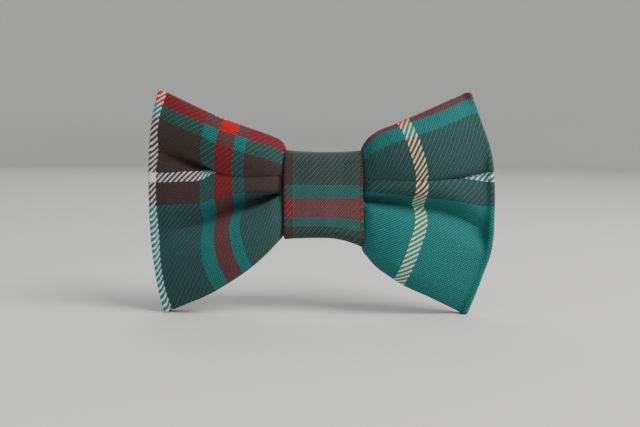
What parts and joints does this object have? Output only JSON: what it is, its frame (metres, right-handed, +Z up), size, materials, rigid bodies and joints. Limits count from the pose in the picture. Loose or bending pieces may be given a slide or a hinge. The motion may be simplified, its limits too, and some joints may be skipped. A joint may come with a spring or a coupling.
{
  "type": "bow tie",
  "caption": "Ready-tied tartan bow tie with pleated wings, a wrapped centre band and a sprung metal collar clip behind.",
  "frame": {"origin": "under the middle of the whole box, on the surface that the lower wing corners stand on", "axes": "+X along the bow from the left wing to the right wing as seen from the front, -Y out of the front face, +Z up as worn"},
  "size_m": [0.1106, 0.0276, 0.071],
  "materials": {
    "tartan": "matte",
    "band_tartan": "matte",
    "lining": "matte",
    "thread": "matte",
    "nickel": "satin",
    "spring_steel": "satin"
  },
  "bodies": {
    "bow": {"bow_loop": "tartan", "bow_interlining": "lining", "gather_thread": "thread", "loop_end_stitch": "thread", "centre_band": "band_tartan", "band_interlining": "lining", "band_closing_stitch": "thread", "clip_base": "nickel", "clip_hinge_pin": "nickel", "clip_spring": "spring_steel", "clip_stitch_left": "thread", "clip_stitch_right": "thread"},
    "clip_lever": {"clip_lever": "nickel"}
  },
  "joints": [
    {"name": "clip_hinge", "type": "hinge", "parent": "bow", "child": "clip_lever", "pos_m": [0.00375, 0.00717, 0.03852], "axis": [0, 0, -1], "range_deg": [0, 28], "stiffness_Nm_per_rad": 0.05, "springref_deg": -40.11, "deforming": ["clip_spring"]}
  ]
}
